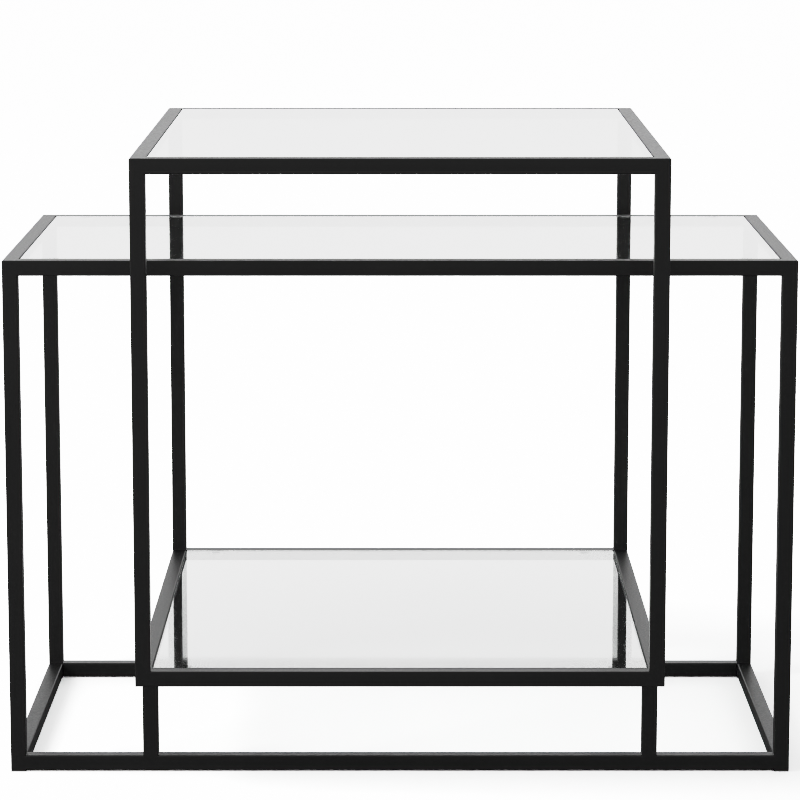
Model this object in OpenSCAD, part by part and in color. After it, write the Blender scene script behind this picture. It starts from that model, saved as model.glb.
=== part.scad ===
// Three-tier glass side table.
// Two open box frames of black square tube cross each other: the lower frame is long
// from left to right and stands on the floor, and the upper frame is long from front to
// back and stands on four short riser posts, on the lower frame's front and back bottom
// rails. Clear glass fills both tops and the bottom of the upper frame.
// Millimetres. +Z is up, +X is the table's right and -Y its front. The origin is the
// middle of the footprint, on the floor.

/* [Lower frame] */
// Width of the lower frame, left to right
lower_w = 776; // [640:2:900]
// Depth of the lower frame, front to back
lower_d = 398; // [330:2:460]
// Height of the lower frame, from the underside of its bottom rails to its top face
lower_h = 512; // [440:2:600]

/* [Upper frame] */
// Width of the upper frame, left to right
upper_w = 512; // [400:2:580]
// Depth of the upper frame, front to back
upper_d = 580; // [500:2:680]
// Height of the upper frame, from the underside of its bottom rails to its top face
upper_h = 512; // [470:2:600]
// Height of the upper frame's underside above the floor
upper_lift = 110; // [60:1:160]

/* [Tube] */
// Outside width of the square tube
tube = 15; // [12:0.5:20]
// Wall thickness of the tube
wall = 1.2; // [0.8:0.1:2]
// Outside corner radius of the tube
tube_r = 1.2; // [0.5:0.1:2]

/* [Glass] */
// Thickness of the glass panels
glass_t = 4; // [3:0.5:6]
// Gap all round between a panel and its frame
glass_gap = 1; // [0.5:0.25:2]
// Corner radius of a panel
glass_r = 2; // [1:0.5:6]

/* [Glass supports] */
// Width of a support tab
tab_w = 14; // [12:1:20]
// Reach of a support tab from the inside face of its rail
tab_reach = 16; // [14:1:24]
// Thickness of a support tab
tab_t = 2.5; // [2:0.5:4]
// Distance from the inside corner of the frame to the middle of a tab
tab_inset = 34; // [20:1:60]
// Diameter of a clear bumper pad
pad_d = 10; // [6:1:12]
// Thickness of a clear bumper pad
pad_t = 1.5; // [1:0.5:3]

/* [Foot caps] */
// Height of a foot cap below the leg
foot_h = 1.5; // [1:0.5:4]
// Chamfer round a foot cap's lower edge
foot_chamfer = 0.6; // [0.2:0.1:0.9]
// Length of the plug that a foot cap pushes into the leg
plug_l = 12; // [8:1:20]

/* [Hidden] */
left = -1;
right = 1;
front = -1;
back = 1;

// A rail's turn about Z: an unturned rail runs along X with its outer face to the front.
front_side = 0;
right_side = 90;
back_side = 180;
left_side = 270;

lower_base_z = foot_h;
lower_top_z = lower_base_z + lower_h;
upper_top_z = upper_lift + upper_h;
shelf_top_z = upper_lift + tube;

bore = tube - 2 * wall;
plug_core = bore - 2;
rib_t = 1.2;
ribs = 3;
foot_r = 1;
overlap = 1;

steel_color = [0.07, 0.07, 0.07];
glass_color = [0.78, 0.86, 0.86, 0.35];
pad_color = [0.88, 0.90, 0.90, 0.6];
plastic_color = [0.04, 0.04, 0.04];
$fn = 48;

// ---- Shapes that repeat ----

// A square with round corners, centred
module round_square(w, d, r) {
    square([w - 2 * r, d], center = true);
    square([w, d - 2 * r], center = true);
    for (sx = [-1, 1], sy = [-1, 1])
        translate([sx * (w / 2 - r), sy * (d / 2 - r)])
            circle(r = r);
}

// Square tube standing along Z
module tube_along_z(length) {
    linear_extrude(height = length)
        difference() {
            round_square(tube, tube, tube_r);
            square(bore, center = true);
        }
}

// Square tube lying along X, centred
module tube_along_x(length) {
    translate([-length / 2, 0, 0])
        rotate([0, 90, 0])
            tube_along_z(length);
}

// Rail along X whose ends are cut at 45 degrees, with its long face to the front
module mitred_rail(length) {
    difference() {
        tube_along_x(length);
        for (end = [0, 1])
            mirror([end, 0, 0])
                translate([length / 2, -tube / 2, 0])
                    rotate([0, 0, 45])
                        translate([0, -tube, -tube])
                            cube([2 * tube, 3 * tube, 2 * tube]);
    }
}

// One side of a mitred ring of rails, whose top face is at top_z. The ring's upright
// corners are ground to the tube's own corner radius.
module ring_rail(w, d, top_z, side) {
    across = side == front_side || side == back_side;
    length = across ? w : d;
    offset_y = (across ? d : w) / 2 - tube / 2;
    intersection() {
        rotate([0, 0, side])
            translate([0, -offset_y, top_z - tube / 2])
                mitred_rail(length);
        translate([0, 0, top_z - tube - overlap])
            linear_extrude(height = tube + 2 * overlap)
                round_square(w, d, tube_r);
    }
}

// Where the middle of a frame's corner leg is
function leg_x(w, side_x) = side_x * (w / 2 - tube / 2);
function leg_y(d, side_y) = side_y * (d / 2 - tube / 2);

// ---- Steel frame ----

// Leg of the lower frame, from its foot cap up to the underside of the top ring
module lower_leg(side_x, side_y) {
    color(steel_color)
        translate([leg_x(lower_w, side_x), leg_y(lower_d, side_y), lower_base_z])
            tube_along_z(lower_h - tube);
}

// Bottom rail of the lower frame, which butts between two legs
module lower_bottom_rail(side) {
    across = side == front_side || side == back_side;
    length = (across ? lower_w : lower_d) - 2 * tube;
    offset_y = (across ? lower_d : lower_w) / 2 - tube / 2;
    color(steel_color)
        rotate([0, 0, side])
            translate([0, -offset_y, lower_base_z + tube / 2])
                tube_along_x(length);
}

// Rail of the lower frame's mitred top ring
module lower_top_rail(side) {
    color(steel_color)
        ring_rail(lower_w, lower_d, lower_top_z, side);
}

// Short post that stands on a lower bottom rail and carries the upper frame's side rail
module riser_post(side_x, side_y) {
    post_z = lower_base_z + tube;
    color(steel_color)
        translate([leg_x(upper_w, side_x), leg_y(lower_d, side_y), post_z])
            tube_along_z(upper_lift - post_z);
}

// Leg of the upper frame, between its two mitred rings
module upper_leg(side_x, side_y) {
    color(steel_color)
        translate([leg_x(upper_w, side_x), leg_y(upper_d, side_y), upper_lift + tube])
            tube_along_z(upper_h - 2 * tube);
}

// Rail of the upper frame's mitred bottom ring
module upper_bottom_rail(side) {
    color(steel_color)
        ring_rail(upper_w, upper_d, shelf_top_z, side);
}

// Rail of the upper frame's mitred top ring
module upper_top_rail(side) {
    color(steel_color)
        ring_rail(upper_w, upper_d, upper_top_z, side);
}

// ---- Glass and what carries it ----

// Panel that lies inside a ring, flush with the ring's top face
module glass_panel(w, d, top_z) {
    inset = 2 * (tube + glass_gap);
    color(glass_color)
        translate([0, 0, top_z - glass_t])
            linear_extrude(height = glass_t)
                round_square(w - inset, d - inset, glass_r);
}

// Places its children at the root of each of a ring's four tabs, with -Y to the rail
module at_tabs(w, d, z) {
    for (side_x = [left, right], side_y = [front, back])
        translate([side_x * (w / 2 - tube - tab_inset), side_y * (d / 2 - tube), z])
            mirror([0, side_y == back ? 1 : 0, 0])
                children();
}

// Four round-ended tabs welded to the inside of a ring's front and back rails
module glass_tabs(w, d, top_z) {
    straight = tab_reach - tab_w / 2;
    color(steel_color)
        at_tabs(w, d, top_z - glass_t - pad_t - tab_t)
            linear_extrude(height = tab_t) {
                translate([-tab_w / 2, 0])
                    square([tab_w, straight]);
                translate([0, straight])
                    circle(d = tab_w);
            }
}

// Four clear bumper pads on a ring's tabs, under the glass
module glass_pads(w, d, top_z) {
    color(pad_color)
        at_tabs(w, d, top_z - glass_t - pad_t)
            translate([0, tab_reach - tab_w / 2, 0])
                cylinder(h = pad_t, d = pad_d);
}

// ---- Foot caps ----

// Side view of a cap's flange: flat on the floor, with its lower edges chamfered
module flange_outline() {
    half = tube / 2;
    polygon([
        [-half + foot_chamfer, 0],
        [half - foot_chamfer, 0],
        [half, foot_chamfer],
        [half, foot_h],
        [-half, foot_h],
        [-half, foot_chamfer]
    ]);
}

// Square flange with round upright corners and a chamfer all round its lower edge
module flange() {
    intersection() {
        linear_extrude(height = foot_h)
            round_square(tube, tube, foot_r);
        for (turn = [0, 90])
            rotate([0, 0, turn])
                rotate([90, 0, 0])
                    linear_extrude(height = 2 * tube, center = true)
                        flange_outline();
    }
}

// Square plastic cap: a flange under the leg and a ribbed plug inside it
module foot_cap(side_x, side_y) {
    color(plastic_color)
        translate([leg_x(lower_w, side_x), leg_y(lower_d, side_y), 0]) {
            flange();
            translate([-plug_core / 2, -plug_core / 2, foot_h - overlap])
                cube([plug_core, plug_core, plug_l + overlap]);
            for (i = [1 : ribs])
                translate([-bore / 2, -bore / 2, foot_h + i * plug_l / (ribs + 1)])
                    cube([bore, bore, rib_t]);
        }
}

// ---- The nodes ----

lower_leg(left, front);  // lower_leg_front_left
lower_leg(right, front);  // lower_leg_front_right
lower_leg(left, back);  // lower_leg_back_left
lower_leg(right, back);  // lower_leg_back_right

lower_bottom_rail(front_side);  // lower_bottom_rail_front
lower_bottom_rail(back_side);  // lower_bottom_rail_back
lower_bottom_rail(left_side);  // lower_bottom_rail_left
lower_bottom_rail(right_side);  // lower_bottom_rail_right

lower_top_rail(front_side);  // lower_top_rail_front
lower_top_rail(back_side);  // lower_top_rail_back
lower_top_rail(left_side);  // lower_top_rail_left
lower_top_rail(right_side);  // lower_top_rail_right

riser_post(left, front);  // riser_post_front_left
riser_post(right, front);  // riser_post_front_right
riser_post(left, back);  // riser_post_back_left
riser_post(right, back);  // riser_post_back_right

upper_leg(left, front);  // upper_leg_front_left
upper_leg(right, front);  // upper_leg_front_right
upper_leg(left, back);  // upper_leg_back_left
upper_leg(right, back);  // upper_leg_back_right

upper_bottom_rail(front_side);  // upper_bottom_rail_front
upper_bottom_rail(back_side);  // upper_bottom_rail_back
upper_bottom_rail(left_side);  // upper_bottom_rail_left
upper_bottom_rail(right_side);  // upper_bottom_rail_right

upper_top_rail(front_side);  // upper_top_rail_front
upper_top_rail(back_side);  // upper_top_rail_back
upper_top_rail(left_side);  // upper_top_rail_left
upper_top_rail(right_side);  // upper_top_rail_right

glass_panel(upper_w, upper_d, upper_top_z);  // top_glass
glass_panel(lower_w, lower_d, lower_top_z);  // middle_glass
glass_panel(upper_w, upper_d, shelf_top_z);  // shelf_glass

glass_tabs(upper_w, upper_d, upper_top_z);  // top_glass_tabs
glass_tabs(lower_w, lower_d, lower_top_z);  // middle_glass_tabs
glass_tabs(upper_w, upper_d, shelf_top_z);  // shelf_glass_tabs

glass_pads(upper_w, upper_d, upper_top_z);  // top_glass_pads
glass_pads(lower_w, lower_d, lower_top_z);  // middle_glass_pads
glass_pads(upper_w, upper_d, shelf_top_z);  // shelf_glass_pads

foot_cap(left, front);  // foot_cap_front_left
foot_cap(right, front);  // foot_cap_front_right
foot_cap(left, back);  // foot_cap_back_left
foot_cap(right, back);  // foot_cap_back_right
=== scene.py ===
"""Looks of a black square-tube side table with three clear glass panels.

Lengths are in metres. +X is the object's right, -Y its front, and +Z is up.
"""

import math

import bmesh
import bpy
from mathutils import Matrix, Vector


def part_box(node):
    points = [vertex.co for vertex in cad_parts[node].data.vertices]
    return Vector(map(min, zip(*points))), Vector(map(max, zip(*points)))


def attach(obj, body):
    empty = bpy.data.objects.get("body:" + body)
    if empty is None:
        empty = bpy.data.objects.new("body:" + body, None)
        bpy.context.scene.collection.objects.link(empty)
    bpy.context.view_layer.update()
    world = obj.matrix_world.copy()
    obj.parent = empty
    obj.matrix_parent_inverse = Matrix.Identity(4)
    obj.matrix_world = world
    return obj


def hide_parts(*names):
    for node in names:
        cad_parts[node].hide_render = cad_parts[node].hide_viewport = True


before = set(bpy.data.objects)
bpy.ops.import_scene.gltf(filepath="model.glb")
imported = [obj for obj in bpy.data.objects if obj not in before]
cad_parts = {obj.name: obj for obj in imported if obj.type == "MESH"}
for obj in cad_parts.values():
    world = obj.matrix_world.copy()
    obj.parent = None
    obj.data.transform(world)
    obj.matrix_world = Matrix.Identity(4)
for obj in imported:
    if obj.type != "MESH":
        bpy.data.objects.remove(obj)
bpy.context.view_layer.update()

MM = 0.001

# The square tube's width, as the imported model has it
LEG_LOW, LEG_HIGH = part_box("lower_leg_front_left")
TUBE = LEG_HIGH.x - LEG_LOW.x

# Welds: each butt joint is filled and ground flush, with a small fillet where faces meet
TUBE_CORNER = 1.2 * MM
FILLET = 0.9 * MM
FILLET_ROOT = 0.2 * MM            # how deep a fillet reaches into the steel
PROBE = 1.0 * MM                  # how far outside a tube its neighbour is looked for

# Glass
GLASS_CORNER = 2.0 * MM
GLASS_CHAMFER = 0.45 * MM
GLASS_TINT = (0.955, 0.965, 0.96)
GLASS_EDGE_TINT = (0.62, 0.72, 0.68)
GLASS_EDGE_ROUGHNESS = 0.32

# Segments of each quarter circle
ARC_STEPS = 6

# Powder coat
COAT_GREY = 0.004
COAT_ROUGHNESS = 0.41
COAT_UNEVENNESS = 0.04            # how far the roughness strays either way
COAT_SPECULAR = 0.105

# Sky, in radiance. The walls end and the ceiling begins at these sines of the elevation.
SKY_LOW = 2.3
SKY_HIGH = 0.4
SKY_WALL_TOP = 0.42
SKY_CEILING_EDGE = 0.68
WHITE_LEVEL = 4.0                 # the backdrop to the camera, and the tone curve's white

# Floor. Its colour holds painted light: it is painted brighter between two distances from the
# table's middle, so the part near the table holds painted shade.
FLOOR_HALF = 30.0
FLOOR_ALBEDO = 0.8
FLOOR_PAINTED_SHADE_IN_GLOSS = 0.12             # its albedo in reflections, painted dark: painted shade in what steel and glass reflect
FLOOR_NEAR = 0.45
FLOOR_FAR = 0.95
FLOOR_PAINTED_GLOW = 1.5                  # painted glow: how much brighter the far part is painted through glass
FLOOR_PAINTED_LIFT_NEAR = 3.4             # painted glow: how much brighter each part is painted straight to the camera
FLOOR_PAINTED_LIFT_FAR = 5.0

# Key lamp, at the left in front, in metres and watts
KEY_PLACE = Vector((-1.9, -0.9, 1.5))
KEY_AIM = Vector((0, 0, 0.3))
KEY_SIZE = 1.2
KEY_POWER = 80.0

# Tone curve: radiance, and the linear value that the picture gets for it
TONES = ((0.12, 0.12), (0.5, 0.485), (1.0, 0.735), (1.5, 0.812), (2.2, 0.865), (3.0, 0.93))
WHITE_TONE = 0.992

# Camera: in front of the table and above its top, looking slightly down
CAMERA_DISTANCE = 3.556
CAMERA_HEIGHT = 0.939
CAMERA_PITCH = math.radians(9.52)
CAMERA_LENS = 156.3               # millimetres

# Rendering: enough bounces for rays that cross all three panels
LIGHT_BOUNCES = 24
PIXEL_FILTER = 1.0                # pixels


# ---------------------------------------------------------------- node helpers

def new_material(name):
    """A material with an empty node tree, and that tree."""
    material = bpy.data.materials.new(name)
    material.use_nodes = True
    material.node_tree.nodes.clear()
    return material, material.node_tree


def add_node(tree, kind, **settings):
    """A node of that kind, with its properties set by name."""
    node = tree.nodes.new(kind)
    for key, value in settings.items():
        setattr(node, key, value)
    return node


def set_inputs(node, **values):
    """Sets a node's inputs: base_color is the input called Base Color."""
    for key, value in values.items():
        wanted = key.replace("_", " ").lower()
        socket = next(s for s in node.inputs if s.name.lower() == wanted)
        socket.default_value = value


def noise(tree, scale, detail=3.0):
    """Noise in object coordinates. Scale is in features per metre."""
    place = add_node(tree, "ShaderNodeTexCoord")
    texture = add_node(tree, "ShaderNodeTexNoise")
    set_inputs(texture, scale=scale, detail=detail, roughness=0.55)
    tree.links.new(place.outputs["Object"], texture.inputs["Vector"])
    return texture.outputs["Fac"]


def spread(tree, source, low, high, start=0.3, stop=0.7):
    """Maps source, from start to stop, onto low to high. Most noise is between 0.3 and 0.7."""
    ramp = add_node(tree, "ShaderNodeMapRange", interpolation_type="SMOOTHSTEP")
    set_inputs(ramp, from_min=start, from_max=stop, to_min=low, to_max=high)
    tree.links.new(source, ramp.inputs["Value"])
    return ramp.outputs["Result"]


def grey(level):
    """A neutral colour."""
    return (level, level, level)


def tint(tree, factor, dark, light):
    """A colour between dark, where factor is 0, and light, where it is 1."""
    ramp = add_node(tree, "ShaderNodeValToRGB")
    ramp.color_ramp.elements[0].color = (*dark, 1)
    ramp.color_ramp.elements[1].color = (*light, 1)
    tree.links.new(factor, ramp.inputs["Fac"])
    return ramp.outputs["Color"]


def bump(tree, height, distance, strength, below=None):
    """A bump node, on top of the bump below it if there is one."""
    node = add_node(tree, "ShaderNodeBump")
    set_inputs(node, strength=strength, distance=distance)
    tree.links.new(height, node.inputs["Height"])
    if below is not None:
        tree.links.new(below, node.inputs["Normal"])
    return node.outputs["Normal"]


def finish_surface(tree, shader):
    """Joins the shader to the material's output."""
    output = add_node(tree, "ShaderNodeOutputMaterial")
    tree.links.new(shader, output.inputs["Surface"])


# ------------------------------------------------------------------- materials

def powder_coat():
    """Satin black powder coat on steel: orange peel over a fine grain."""
    material, tree = new_material("black_powder_coat")
    coat = add_node(tree, "ShaderNodeBsdfPrincipled")
    set_inputs(coat, ior=1.5, specular_ior_level=COAT_SPECULAR)
    cloud = noise(tree, scale=9.0)
    peel = noise(tree, scale=520.0, detail=2.0)
    grain = noise(tree, scale=2600.0, detail=2.0)
    colour = tint(tree, cloud, dark=grey(0.8 * COAT_GREY), light=grey(1.2 * COAT_GREY))
    tree.links.new(colour, coat.inputs["Base Color"])
    rough = spread(tree, peel, COAT_ROUGHNESS - COAT_UNEVENNESS, COAT_ROUGHNESS + COAT_UNEVENNESS)
    tree.links.new(rough, coat.inputs["Roughness"])
    normal = bump(tree, peel, distance=0.05 * MM, strength=0.35)
    normal = bump(tree, grain, distance=0.012 * MM, strength=0.35, below=normal)
    tree.links.new(normal, coat.inputs["Normal"])
    finish_surface(tree, coat.outputs["BSDF"])
    return material


def let_lamps_through(tree, shader, colour):
    """Finishes a clear material so that lamps and the sky shine straight through it."""
    ray = add_node(tree, "ShaderNodeLightPath")
    clear = add_node(tree, "ShaderNodeBsdfTransparent")
    set_inputs(clear, color=(*colour, 1))
    for kind in ("Is Shadow Ray", "Is Diffuse Ray"):
        mix = add_node(tree, "ShaderNodeMixShader")
        tree.links.new(ray.outputs[kind], mix.inputs["Fac"])
        tree.links.new(shader, mix.inputs[1])
        tree.links.new(clear.outputs["BSDF"], mix.inputs[2])
        shader = mix.outputs["Shader"]
    finish_surface(tree, shader)


def clear_glass():
    """Clear float glass, polished on its faces, with greener ground edges."""
    material, tree = new_material("clear_glass")
    glass = add_node(tree, "ShaderNodeBsdfPrincipled")
    set_inputs(glass, ior=1.5, transmission_weight=1.0)
    side = add_node(tree, "ShaderNodeNewGeometry")
    parts = add_node(tree, "ShaderNodeSeparateXYZ")
    tree.links.new(side.outputs["True Normal"], parts.inputs["Vector"])
    flatness = add_node(tree, "ShaderNodeMath", operation="ABSOLUTE")
    tree.links.new(parts.outputs["Z"], flatness.inputs[0])
    face = spread(tree, flatness.outputs["Value"], low=0.0, high=1.0, start=0.6, stop=0.95)
    body = tint(tree, face, dark=GLASS_EDGE_TINT, light=GLASS_TINT)
    tree.links.new(body, glass.inputs["Base Color"])
    smear = noise(tree, scale=14.0, detail=5.0)
    polish = spread(tree, smear, low=0.012, high=0.03)
    ground = add_node(tree, "ShaderNodeMix", data_type="FLOAT")
    ground.inputs["A"].default_value = GLASS_EDGE_ROUGHNESS
    tree.links.new(face, ground.inputs["Factor"])
    tree.links.new(polish, ground.inputs["B"])
    tree.links.new(ground.outputs["Result"], glass.inputs["Roughness"])
    let_lamps_through(tree, glass.outputs["BSDF"], GLASS_TINT)
    return material


def clear_bumper():
    """Cloudy clear polyurethane, a little scuffed."""
    material, tree = new_material("clear_bumper")
    rubber = add_node(tree, "ShaderNodeBsdfPrincipled")
    set_inputs(rubber, ior=1.48, transmission_weight=1.0)
    haze = noise(tree, scale=320.0)
    colour = tint(tree, haze, dark=(0.72, 0.74, 0.72), light=(0.86, 0.87, 0.85))
    tree.links.new(colour, rubber.inputs["Base Color"])
    tree.links.new(spread(tree, haze, low=0.12, high=0.28), rubber.inputs["Roughness"])
    scuff = noise(tree, scale=1800.0)
    normal = bump(tree, scuff, distance=0.02 * MM, strength=0.5)
    tree.links.new(normal, rubber.inputs["Normal"])
    finish_surface(tree, rubber.outputs["BSDF"])
    return material


def cap_plastic():
    """Spark-textured black polyethylene."""
    material, tree = new_material("cap_plastic")
    plastic = add_node(tree, "ShaderNodeBsdfPrincipled")
    set_inputs(plastic, ior=1.5, specular_ior_level=0.3)
    spark = noise(tree, scale=3200.0, detail=4.0)
    cloud = noise(tree, scale=160.0)
    colour = tint(tree, cloud, dark=grey(0.008), light=grey(0.014))
    tree.links.new(colour, plastic.inputs["Base Color"])
    tree.links.new(spread(tree, spark, low=0.5, high=0.68), plastic.inputs["Roughness"])
    normal = bump(tree, spark, distance=0.03 * MM, strength=0.7)
    tree.links.new(normal, plastic.inputs["Normal"])
    finish_surface(tree, plastic.outputs["BSDF"])
    return material


MATERIALS = {
    "black_powder_coat": powder_coat(),
    "clear_glass": clear_glass(),
    "clear_bumper": clear_bumper(),
    "cap_plastic": cap_plastic(),
}


def slot_of(node_name):
    """The material slot of a CAD node, by what the node is."""
    if node_name.endswith("_glass"):
        return "clear_glass"
    if node_name.endswith("_pads"):
        return "clear_bumper"
    if node_name.startswith("foot_cap"):
        return "cap_plastic"
    return "black_powder_coat"


for node_name, node_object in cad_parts.items():
    node_object.data.materials.clear()
    node_object.data.materials.append(MATERIALS[slot_of(node_name)])


# ---------------------------------------------------------------------- pieces

def new_piece(name, body, slot, build):
    """A mesh that build fills, with its material, riding on that body."""
    mesh = bpy.data.meshes.new(name)
    shape = bmesh.new()
    build(shape)
    bmesh.ops.recalc_face_normals(shape, faces=shape.faces)
    shape.to_mesh(mesh)
    shape.free()
    mesh.materials.append(MATERIALS[slot])
    piece = bpy.data.objects.new(name, mesh)
    bpy.context.scene.collection.objects.link(piece)
    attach(piece, body)
    return piece


def rounded_rectangle(low, high, radius):
    """The outline of a rectangle with round corners, as points in order."""
    points = []
    corners = ((high.x, high.y, 0), (low.x, high.y, 90), (low.x, low.y, 180), (high.x, low.y, 270))
    for x, y, start in corners:
        side_x = 1 if x == high.x else -1
        side_y = 1 if y == high.y else -1
        centre = Vector((x - side_x * radius, y - side_y * radius))
        for step in range(ARC_STEPS + 1):
            angle = math.radians(start + 90 * step / ARC_STEPS)
            points.append(centre + radius * Vector((math.cos(angle), math.sin(angle))))
    return points


def loft(shape, rings):
    """A closed solid through rings of the same number of points."""
    layers = [[shape.verts.new(point) for point in ring] for ring in rings]
    count = len(layers[0])
    for below, above in zip(layers, layers[1:]):
        for i in range(count):
            j = (i + 1) % count
            shape.faces.new((below[i], below[j], above[j], above[i]))
    shape.faces.new(layers[0][::-1])
    shape.faces.new(layers[-1])


def glass_panel(node, body):
    """A glass panel in the CAD panel's place, with a small ground chamfer on each edge."""
    low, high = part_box(node)

    def build(shape):
        rings = []
        for inset, z in ((GLASS_CHAMFER, low.z), (0, low.z + GLASS_CHAMFER),
                         (0, high.z - GLASS_CHAMFER), (GLASS_CHAMFER, high.z)):
            shrink = Vector((inset, inset, 0))
            outline = rounded_rectangle(low + shrink, high - shrink, GLASS_CORNER - inset)
            rings.append([(p.x, p.y, z) for p in outline])
        loft(shape, rings)

    piece = new_piece(node + "_pane", body, "clear_glass", build)
    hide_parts(node)


COATED = [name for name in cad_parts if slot_of(name) == "black_powder_coat"]
TUBES = [name for name in COATED if not name.endswith("_tabs")]
AXES = [Vector((1, 0, 0)), Vector((0, 1, 0)), Vector((0, 0, 1))]
SIDES = [axis * sign for axis in AXES for sign in (-1, 1)]


def in_steel(point):
    """True if the point is inside the box of a steel tube."""
    for name in TUBES:
        low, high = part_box(name)
        if all(low[i] < point[i] < high[i] for i in range(3)):
            return True
    return False


def tube_ends(node):
    """The middle of each end of a straight tube, with the direction that leads out of it."""
    low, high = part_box(node)
    size = high - low
    long_axis = max(range(3), key=lambda i: size[i])
    middle = (low + high) / 2
    for sign in (-1, 1):
        outward = AXES[long_axis] * sign
        yield middle + outward * (size[long_axis] / 2), outward


def weld_collar(shape, end, outward):
    """Fills the groove that the other tube's round corners leave round a butt joint."""
    turn = Vector((0, 0, 1)).rotation_difference(outward).to_matrix()
    reach = Vector((TUBE / 2, TUBE / 2, 0))
    outline = rounded_rectangle(-reach, reach, TUBE_CORNER)
    rings = [[end + turn @ Vector((p.x, p.y, along)) for p in outline] for along in (0, TUBE_CORNER)]
    loft(shape, rings)


def weld_fillet(shape, end, outward, side):
    """A hollow fillet along the corner between a tube's side and the face it stands on."""
    along = outward.cross(side)
    half_length = TUBE / 2 - TUBE_CORNER
    corner = end + side * (TUBE / 2)
    centre = corner + (side - outward) * FILLET
    profile = [corner - (side - outward) * FILLET_ROOT]
    for step in range(ARC_STEPS + 1):
        angle = math.pi / 2 * step / ARC_STEPS
        direction = outward * math.cos(angle) - side * math.sin(angle)
        profile.append(centre + direction * FILLET)
    rings = [[point + along * reach for point in profile] for reach in (-half_length, half_length)]
    loft(shape, rings)


def welds(name, nodes):
    """The welds at the butt ends of these tubes, as one piece."""

    def build(shape):
        for node in nodes:
            for end, outward in tube_ends(node):
                if not in_steel(end + outward * PROBE):
                    continue
                weld_collar(shape, end, outward)
                for side in SIDES:
                    beyond = end + side * (TUBE / 2 + 2 * PROBE) + outward * PROBE
                    if side.dot(outward) == 0 and in_steel(beyond):
                        weld_fillet(shape, end, outward, side)

    new_piece(name, "frame", "black_powder_coat", build)


for panel in ("top", "middle", "shelf"):
    glass_panel(panel + "_glass", panel + "_panel")
for part, prefixes in (("lower_frame", ("lower_leg", "lower_bottom_rail")),
                       ("upper_frame", ("upper_leg",)),
                       ("risers", ("riser_post",))):
    welds("welds_" + part, [name for name in sorted(TUBES) if name.startswith(prefixes)])


# ------------------------------------------------------- floor, light, camera

def by_ray(tree, ray, kind, other, value):
    """The value for rays of that kind, and the other for the rest. Each is a number or a socket."""
    mix = add_node(tree, "ShaderNodeMix", data_type="FLOAT")
    tree.links.new(ray.outputs[kind], mix.inputs["Factor"])
    for name, part in (("A", other), ("B", value)):
        if isinstance(part, float):
            mix.inputs[name].default_value = part
        else:
            tree.links.new(part, mix.inputs[name])
    return mix.outputs["Result"]


def pale_floor():
    """A pale matt floor, nearly white to the camera by a painted glow and dark in reflections by
    painted shade, which can't be seen from below.
    """
    mesh = bpy.data.meshes.new("floor")
    corners = [(x * FLOOR_HALF, y * FLOOR_HALF, 0) for x, y in ((-1, -1), (1, -1), (1, 1), (-1, 1))]
    mesh.from_pydata(corners, [], [(0, 1, 2, 3)])
    floor = bpy.data.objects.new("floor", mesh)
    bpy.context.scene.collection.objects.link(floor)
    material, tree = new_material("pale_floor")
    paper = add_node(tree, "ShaderNodeBsdfDiffuse")
    place = add_node(tree, "ShaderNodeTexCoord")
    distance = add_node(tree, "ShaderNodeVectorMath", operation="LENGTH")
    tree.links.new(place.outputs["Object"], distance.inputs[0])
    away = distance.outputs["Value"]
    # Painted glow: the floor's colour is painted brighter far from the table, through glass and
    # straight to the camera, so the floor near the table holds painted shade.
    painted_glow_far = FLOOR_ALBEDO * FLOOR_PAINTED_GLOW
    painted_lift_near = FLOOR_ALBEDO * FLOOR_PAINTED_LIFT_NEAR
    painted_lift_far = FLOOR_ALBEDO * FLOOR_PAINTED_LIFT_FAR
    painted_glow_through_glass = spread(tree, away, FLOOR_ALBEDO, painted_glow_far, FLOOR_NEAR, FLOOR_FAR)
    painted_glow_to_camera = spread(tree, away, painted_lift_near, painted_lift_far, FLOOR_NEAR, FLOOR_FAR)
    ray = add_node(tree, "ShaderNodeLightPath")
    # Painted shade: in reflections the floor's colour is painted dark.
    albedo = by_ray(tree, ray, "Is Glossy Ray", FLOOR_ALBEDO, FLOOR_PAINTED_SHADE_IN_GLOSS)
    albedo = by_ray(tree, ray, "Is Transmission Ray", albedo, painted_glow_through_glass)
    albedo = by_ray(tree, ray, "Is Camera Ray", albedo, painted_glow_to_camera)
    tree.links.new(albedo, paper.inputs["Color"])
    under = add_node(tree, "ShaderNodeNewGeometry")
    clear = add_node(tree, "ShaderNodeBsdfTransparent")
    mix = add_node(tree, "ShaderNodeMixShader")
    tree.links.new(under.outputs["Backfacing"], mix.inputs["Fac"])
    tree.links.new(paper.outputs["BSDF"], mix.inputs[1])
    tree.links.new(clear.outputs["BSDF"], mix.inputs[2])
    finish_surface(tree, mix.outputs["Shader"])
    mesh.materials.append(material)


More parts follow.
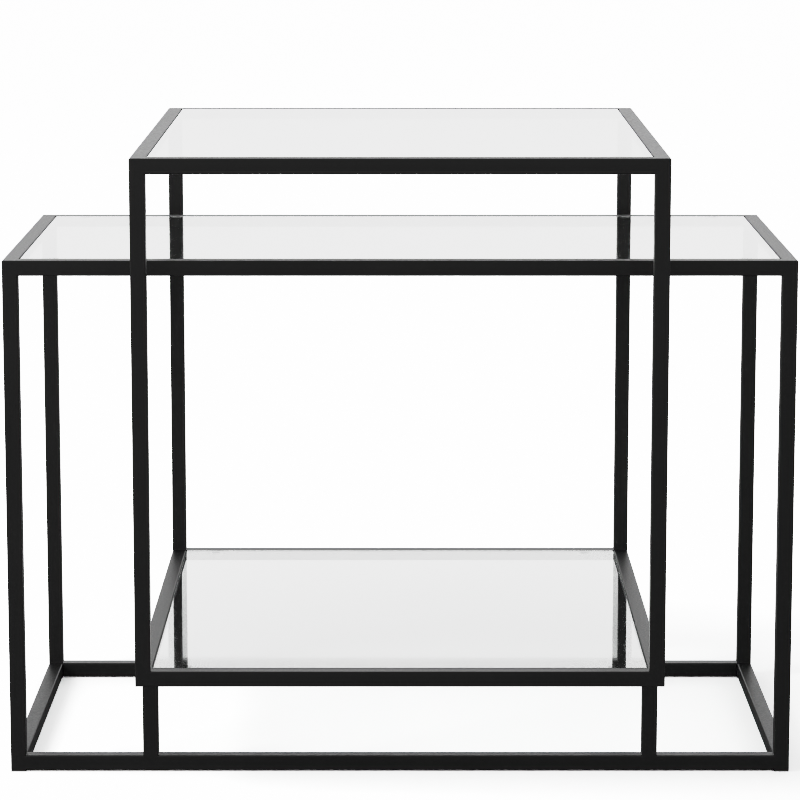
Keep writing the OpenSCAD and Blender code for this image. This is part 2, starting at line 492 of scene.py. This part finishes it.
def studio_sky():
    """A white studio: a bright backdrop all round, and a dimmer ceiling."""
    world = bpy.data.worlds.new("studio")
    bpy.context.scene.world = world
    world.use_nodes = True
    tree = world.node_tree
    tree.nodes.clear()
    place = add_node(tree, "ShaderNodeTexCoord")
    parts = add_node(tree, "ShaderNodeSeparateXYZ")
    tree.links.new(place.outputs["Generated"], parts.inputs["Vector"])
    light = spread(tree, parts.outputs["Z"], SKY_LOW, SKY_HIGH, SKY_WALL_TOP, SKY_CEILING_EDGE)
    ray = add_node(tree, "ShaderNodeLightPath")
    seen = by_ray(tree, ray, "Is Camera Ray", light, WHITE_LEVEL)
    glow = add_node(tree, "ShaderNodeBackground")
    set_inputs(glow, color=(1, 1, 1, 1))
    tree.links.new(seen, glow.inputs["Strength"])
    output = add_node(tree, "ShaderNodeOutputWorld")
    tree.links.new(glow.outputs["Background"], output.inputs["Surface"])


def soft_highlights():
    """A plain tone curve: dark tones as they are, and highlights that roll off."""
    view = bpy.context.scene.view_settings
    view.view_transform = "Standard"
    view.use_curve_mapping = True
    mapping = view.curve_mapping
    mapping.white_level = (WHITE_LEVEL, WHITE_LEVEL, WHITE_LEVEL)
    mapping.extend = "HORIZONTAL"
    points = mapping.curves[3].points
    points[0].location = (0.0, 0.0)
    points[1].location = (1.0, WHITE_TONE)
    for radiance, tone in TONES:
        points.new(radiance / WHITE_LEVEL, tone)
    mapping.update()


def key_lamp():
    """A soft square lamp that shines at the middle of the table."""
    data = bpy.data.lights.new("key_lamp", "AREA")
    data.size = KEY_SIZE
    data.energy = KEY_POWER
    lamp = bpy.data.objects.new("key_lamp", data)
    bpy.context.scene.collection.objects.link(lamp)
    lamp.location = KEY_PLACE
    lamp.rotation_euler = (KEY_AIM - KEY_PLACE).to_track_quat("-Z", "Y").to_euler()


def photo_camera():
    """The camera, at the photograph's viewing angle."""
    data = bpy.data.cameras.new("camera")
    data.sensor_width = 36.0
    data.lens = CAMERA_LENS
    data.clip_end = 100.0
    camera = bpy.data.objects.new("camera", data)
    bpy.context.scene.collection.objects.link(camera)
    camera.location = (0, -CAMERA_DISTANCE, CAMERA_HEIGHT)
    camera.rotation_euler = (math.pi / 2 - CAMERA_PITCH, 0, 0)
    bpy.context.scene.camera = camera


pale_floor()
studio_sky()
key_lamp()
photo_camera()
soft_highlights()

scene = bpy.context.scene
scene.cycles.caustics_reflective = False
scene.cycles.caustics_refractive = False
scene.cycles.filter_width = PIXEL_FILTER
scene.cycles.max_bounces = LIGHT_BOUNCES
scene.cycles.transmission_bounces = LIGHT_BOUNCES
scene.cycles.transparent_max_bounces = LIGHT_BOUNCES
